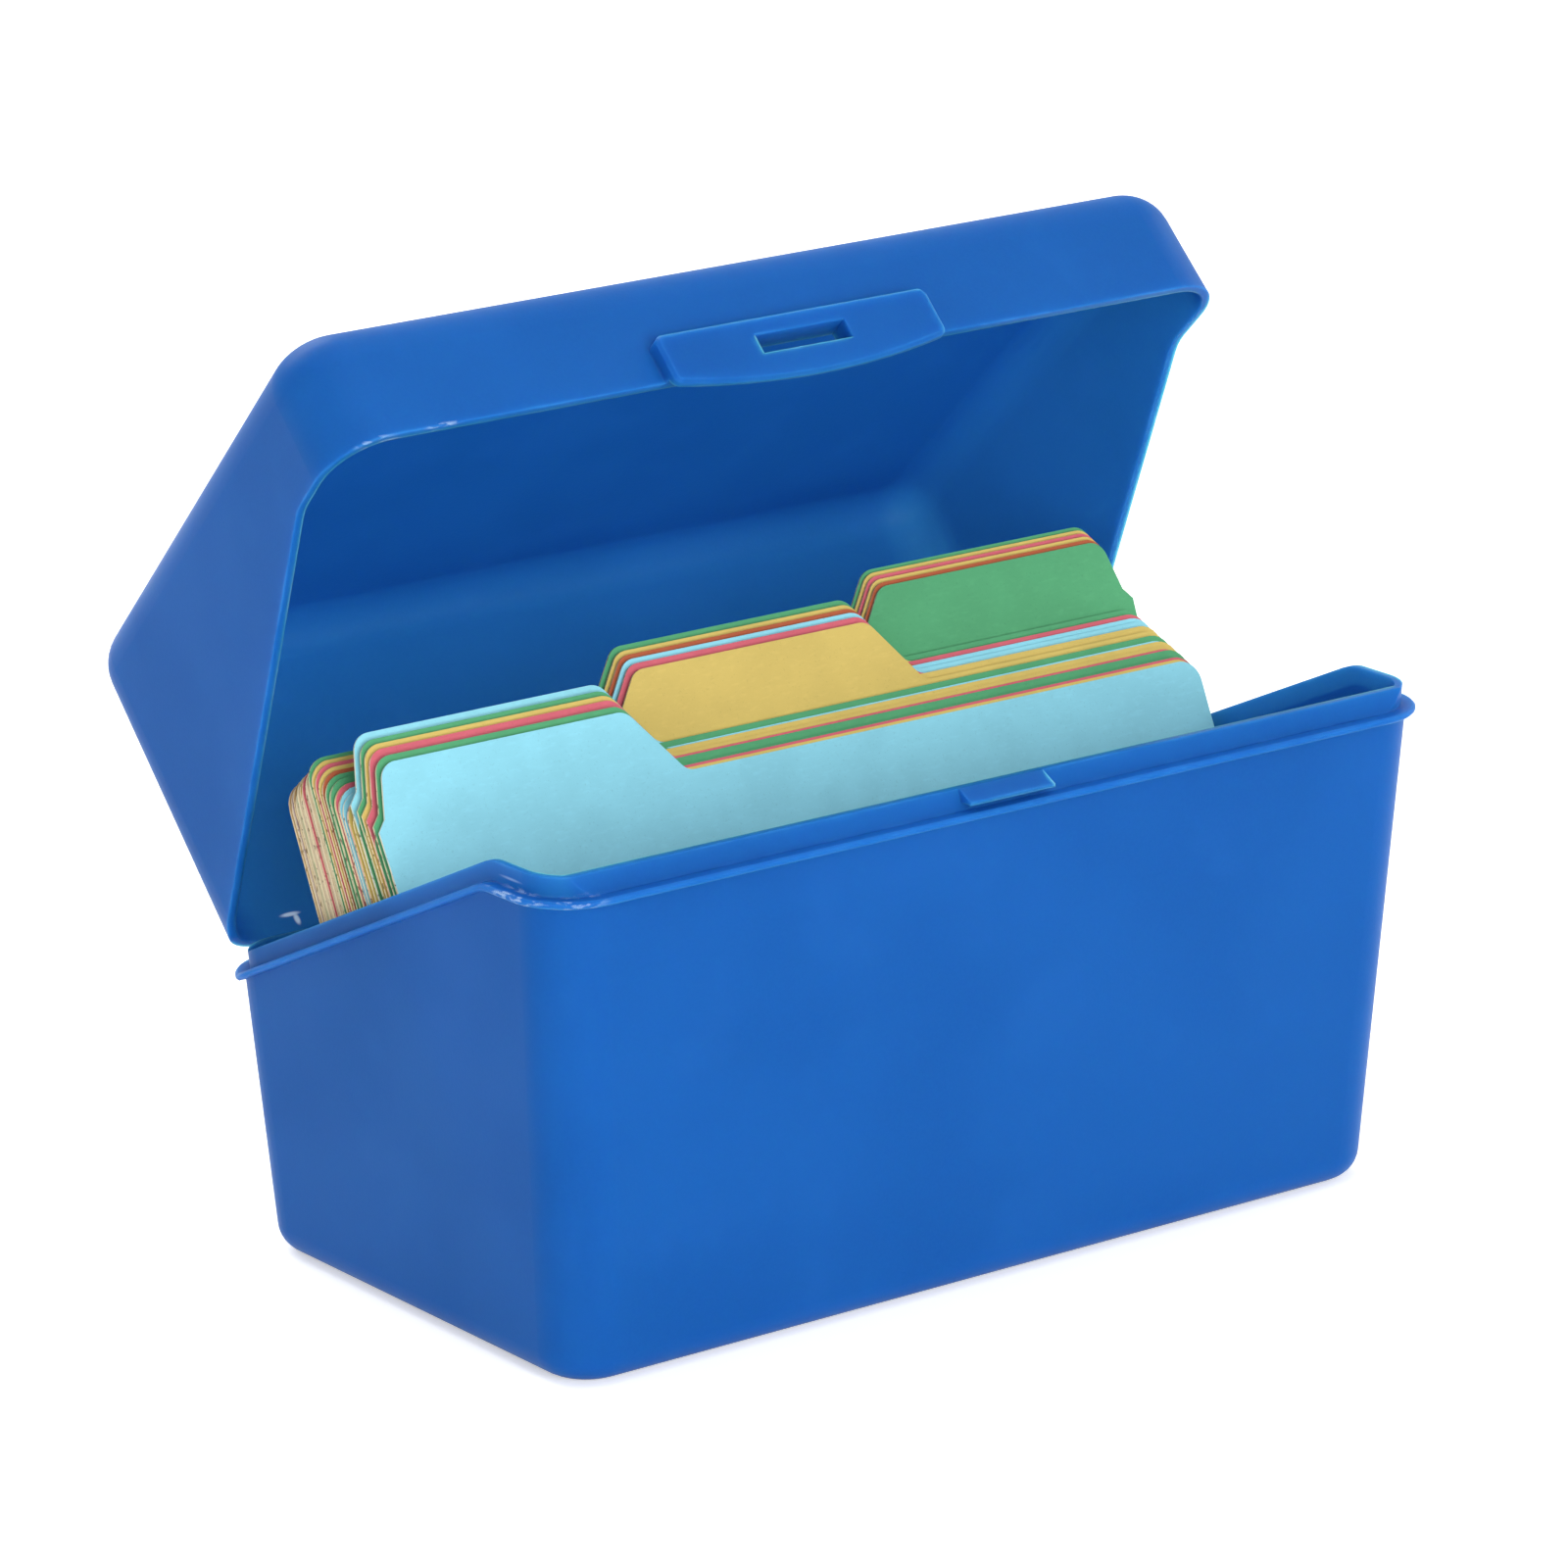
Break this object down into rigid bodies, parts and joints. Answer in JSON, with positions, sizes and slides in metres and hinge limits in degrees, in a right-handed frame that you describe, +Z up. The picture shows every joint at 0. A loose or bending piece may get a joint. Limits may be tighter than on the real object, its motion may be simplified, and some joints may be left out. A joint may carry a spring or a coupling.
{
  "type": "index card box",
  "caption": "Blue moulded card file with a half-open flip lid on a fold hinge, a slotted snap clasp and a leaning set of coloured tabbed dividers.",
  "frame": {"origin": "centre of the flat underside of the base", "axes": "+X along the front to the right of someone facing the clasp, the front faces -Y, +Z up"},
  "size_m": [0.1418, 0.1095, 0.1246],
  "materials": {
    "blue_plastic": "satin moulded polypropylene, fine grain, one colour through",
    "card_blue": "uncoated coloured card, light blue",
    "card_green": "uncoated coloured card, green",
    "card_pink": "uncoated coloured card, pink",
    "card_yellow": "uncoated coloured card, yellow",
    "card_orange": "uncoated coloured card, brown orange"
  },
  "bodies": {
    "tub": {"body_shell": "blue_plastic", "hinge_web": "blue_plastic"},
    "lid": {"lid_shell": "blue_plastic"},
    "divider_left_1_sheet": {"divider_left_1": "card_blue"},
    "divider_left_2_sheet": {"divider_left_2": "card_green"},
    "divider_left_3_sheet": {"divider_left_3": "card_pink"},
    "divider_left_4_sheet": {"divider_left_4": "card_yellow"},
    "divider_left_5_sheet": {"divider_left_5": "card_green"},
    "divider_left_6_sheet": {"divider_left_6": "card_blue"},
    "divider_centre_1_sheet": {"divider_centre_1": "card_yellow"},
    "divider_centre_2_sheet": {"divider_centre_2": "card_pink"},
    "divider_centre_3_sheet": {"divider_centre_3": "card_blue"},
    "divider_centre_4_sheet": {"divider_centre_4": "card_orange"},
    "divider_centre_5_sheet": {"divider_centre_5": "card_yellow"},
    "divider_centre_6_sheet": {"divider_centre_6": "card_green"},
    "divider_right_1_sheet": {"divider_right_1": "card_green"},
    "divider_right_2_sheet": {"divider_right_2": "card_orange"},
    "divider_right_3_sheet": {"divider_right_3": "card_yellow"},
    "divider_right_4_sheet": {"divider_right_4": "card_pink"},
    "divider_right_5_sheet": {"divider_right_5": "card_yellow"},
    "divider_right_6_sheet": {"divider_right_6": "card_green"}
  },
  "joints": [
    {"name": "lid_hinge", "type": "hinge", "parent": "tub", "child": "lid", "pos_m": [0, 0.04021, 0.03795], "axis": [-1, 0, 0], "range_deg": [-44.8, 90]},
    {"name": "divider_left_1_lift", "type": "slide", "parent": "tub", "child": "divider_left_1_sheet", "axis": [0, 0.4478, 0.8942], "range_m": [0, 0.044]},
    {"name": "divider_left_2_lift", "type": "slide", "parent": "tub", "child": "divider_left_2_sheet", "axis": [0, 0.4427, 0.8967], "range_m": [0, 0.043]},
    {"name": "divider_left_3_lift", "type": "slide", "parent": "tub", "child": "divider_left_3_sheet", "axis": [0, 0.4369, 0.8995], "range_m": [0, 0.041]},
    {"name": "divider_left_4_lift", "type": "slide", "parent": "tub", "child": "divider_left_4_sheet", "axis": [0, 0.4328, 0.9015], "range_m": [0, 0.04]},
    {"name": "divider_left_5_lift", "type": "slide", "parent": "tub", "child": "divider_left_5_sheet", "axis": [0, 0.4287, 0.9035], "range_m": [0, 0.039]},
    {"name": "divider_left_6_lift", "type": "slide", "parent": "tub", "child": "divider_left_6_sheet", "axis": [0, 0.4228, 0.9062], "range_m": [0, 0.038]},
    {"name": "divider_centre_1_lift", "type": "slide", "parent": "tub", "child": "divider_centre_1_sheet", "axis": [0, 0.4187, 0.9081], "range_m": [0, 0.037]},
    {"name": "divider_centre_2_lift", "type": "slide", "parent": "tub", "child": "divider_centre_2_sheet", "axis": [0, 0.4135, 0.9105], "range_m": [0, 0.036]},
    {"name": "divider_centre_3_lift", "type": "slide", "parent": "tub", "child": "divider_centre_3_sheet", "axis": [0, 0.4093, 0.9124], "range_m": [0, 0.035]},
    {"name": "divider_centre_4_lift", "type": "slide", "parent": "tub", "child": "divider_centre_4_sheet", "axis": [0, 0.4056, 0.9141], "range_m": [0, 0.034]},
    {"name": "divider_centre_5_lift", "type": "slide", "parent": "tub", "child": "divider_centre_5_sheet", "axis": [0, 0.4018, 0.9157], "range_m": [0, 0.033]},
    {"name": "divider_centre_6_lift", "type": "slide", "parent": "tub", "child": "divider_centre_6_sheet", "axis": [0, 0.3972, 0.9177], "range_m": [0, 0.032]},
    {"name": "divider_right_1_lift", "type": "slide", "parent": "tub", "child": "divider_right_1_sheet", "axis": [0, 0.3934, 0.9194], "range_m": [0, 0.031]},
    {"name": "divider_right_2_lift", "type": "slide", "parent": "tub", "child": "divider_right_2_sheet", "axis": [0, 0.3902, 0.9207], "range_m": [0, 0.031]},
    {"name": "divider_right_3_lift", "type": "slide", "parent": "tub", "child": "divider_right_3_sheet", "axis": [0, 0.3871, 0.9221], "range_m": [0, 0.03]},
    {"name": "divider_right_4_lift", "type": "slide", "parent": "tub", "child": "divider_right_4_sheet", "axis": [0, 0.3839, 0.9234], "range_m": [0, 0.029]},
    {"name": "divider_right_5_lift", "type": "slide", "parent": "tub", "child": "divider_right_5_sheet", "axis": [0, 0.3807, 0.9247], "range_m": [0, 0.028]},
    {"name": "divider_right_6_lift", "type": "slide", "parent": "tub", "child": "divider_right_6_sheet", "axis": [0, 0.3775, 0.926], "range_m": [0, 0.028]}
  ]
}
